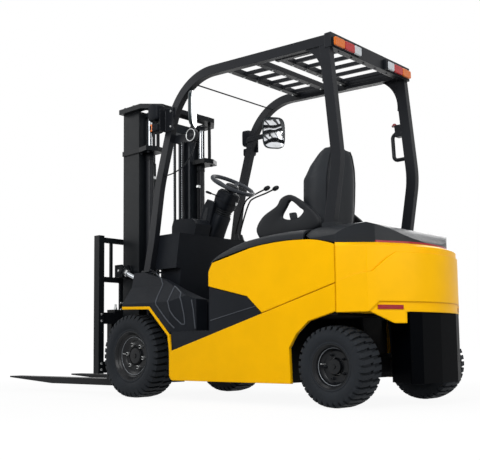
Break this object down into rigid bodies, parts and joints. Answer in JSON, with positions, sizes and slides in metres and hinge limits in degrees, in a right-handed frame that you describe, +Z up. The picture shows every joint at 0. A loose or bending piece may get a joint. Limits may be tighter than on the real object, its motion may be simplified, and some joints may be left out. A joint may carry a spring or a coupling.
{
  "type": "forklift truck",
  "caption": "Four-wheel battery forklift truck with a two-stage mast, load backrest, forks, overhead guard, counterweight and an opening seat hood.",
  "frame": {"origin": "on the floor under the middle of the whole truck, forks included", "axes": "+X ahead along the forks, +Y to the driver's left, +Z up"},
  "size_m": [3.9599, 1.18, 2.2532],
  "materials": {
    "body_yellow": "satin paint",
    "moulded_black": "fine grain",
    "black_paint": "semi-gloss paint",
    "frame_black": "flat paint",
    "mast_steel": "greased rail paint",
    "chrome_rod": "ground and plated",
    "chain_steel": "oiled",
    "tyre_rubber": "matt tread",
    "rim_paint": "satin paint",
    "seat_black": "grained vinyl",
    "grip_rubber": "soft grip",
    "lamp_lens": "moulded lens",
    "reflector_red": "reflector",
    "battery_grey": "flat paint"
  },
  "bodies": {
    "truck": {"side_panels": "body_yellow", "side_covers": "body_yellow", "step_wells": "moulded_black", "front_fenders": "moulded_black", "underframe": "frame_black", "battery": "battery_grey", "floor_plate": "grip_rubber", "pedals": "grip_rubber", "counterweight": "body_yellow", "counterweight_skirt": "black_paint", "tail_cover": "moulded_black", "red_strips": "reflector_red", "guard_frame": "black_paint", "guard_grille": "black_paint", "dash": "moulded_black", "steering_column": "moulded_black", "levers": "grip_rubber", "tail_lamps": "lamp_lens", "headlamps": "moulded_black", "mirrors": "moulded_black", "grab_handle": "black_paint", "drive_axle": "frame_black", "steer_axle": "frame_black"},
    "hood": {"hood_lid": "moulded_black", "seat_cushion": "seat_black", "seat_back": "seat_black", "hip_restraints": "moulded_black"},
    "steering_wheel_body": {"steering_wheel": "grip_rubber"},
    "outer_mast_body": {"outer_mast": "black_paint", "lift_cylinders": "black_paint"},
    "inner_mast_body": {"inner_mast": "mast_steel", "lift_rods": "chrome_rod", "lift_chains": "chain_steel"},
    "carriage_body": {"carriage": "black_paint", "load_backrest": "black_paint", "forks": "black_paint"},
    "tilt_barrel_body": {"tilt_barrels": "black_paint"},
    "tilt_rod_body": {"tilt_rods": "chrome_rod"},
    "front_wheel_left": {"front_tyre_left": "tyre_rubber", "front_rim_left": "rim_paint"},
    "front_wheel_right": {"front_tyre_right": "tyre_rubber", "front_rim_right": "rim_paint"},
    "knuckle_body_left": {"knuckle_left": "frame_black"},
    "knuckle_body_right": {"knuckle_right": "frame_black"},
    "rear_wheel_left": {"rear_tyre_left": "tyre_rubber", "rear_rim_left": "rim_paint"},
    "rear_wheel_right": {"rear_tyre_right": "tyre_rubber", "rear_rim_right": "rim_paint"}
  },
  "joints": [
    {"name": "mast_tilt", "type": "hinge", "parent": "truck", "child": "outer_mast_body", "pos_m": [0.145, 0, 0.292], "axis": [0, 1, 0], "range_deg": [-10, 5]},
    {"name": "mast_lift", "type": "slide", "parent": "outer_mast_body", "child": "inner_mast_body", "axis": [0, 0, 1], "range_m": [0, 1.5]},
    {"name": "carriage_lift", "type": "slide", "parent": "inner_mast_body", "child": "carriage_body", "axis": [0, 0, 1], "range_m": [0, 1.5]},
    {"name": "tilt_barrel_swing", "type": "hinge", "parent": "truck", "child": "tilt_barrel_body", "pos_m": [-0.1213, 0, 0.6876], "axis": [0, 1, 0], "range_deg": [-9, 5]},
    {"name": "tilt_rod_slide", "type": "slide", "parent": "tilt_barrel_body", "child": "tilt_rod_body", "axis": [0.9205, 0, 0.3907], "range_m": [-0.085, 0.043]},
    {"name": "hood_open", "type": "hinge", "parent": "truck", "child": "hood", "pos_m": [-1.4135, 0, 1.052], "axis": [0, -1, 0], "range_deg": [0, 50]},
    {"name": "steering_turn", "type": "hinge", "parent": "truck", "child": "steering_wheel_body", "pos_m": [-0.325, 0, 1.52], "axis": [-0.5299, 0, 0.848], "continuous": true},
    {"name": "front_wheel_left_spin", "type": "hinge", "parent": "truck", "child": "front_wheel_left", "pos_m": [0.145, 0.4755, 0.292], "axis": [0, 1, 0], "continuous": true},
    {"name": "front_wheel_right_spin", "type": "hinge", "parent": "truck", "child": "front_wheel_right", "pos_m": [0.145, -0.4755, 0.292], "axis": [0, 1, 0], "continuous": true},
    {"name": "steer_left", "type": "hinge", "parent": "truck", "child": "knuckle_body_left", "pos_m": [-1.575, 0.36, 0.231], "axis": [0, 0, 1], "range_deg": [-65, 65]},
    {"name": "steer_right", "type": "hinge", "parent": "truck", "child": "knuckle_body_right", "pos_m": [-1.575, -0.36, 0.231], "axis": [0, 0, 1], "range_deg": [-65, 65]},
    {"name": "rear_wheel_left_spin", "type": "hinge", "parent": "knuckle_body_left", "child": "rear_wheel_left", "pos_m": [-1.575, 0.489, 0.231], "axis": [0, 1, 0], "continuous": true},
    {"name": "rear_wheel_right_spin", "type": "hinge", "parent": "knuckle_body_right", "child": "rear_wheel_right", "pos_m": [-1.575, -0.489, 0.231], "axis": [0, 1, 0], "continuous": true}
  ],
  "couplings": [
    {"joint": "carriage_lift", "follows": "mast_lift", "ratio": 1},
    {"joint": "tilt_barrel_swing", "follows": "mast_tilt", "ratio": 0.87475},
    {"joint": "tilt_rod_slide", "follows": "mast_tilt", "m_per_rad": 0.47073},
    {"joint": "steer_right", "follows": "steer_left", "ratio": 1}
  ]
}
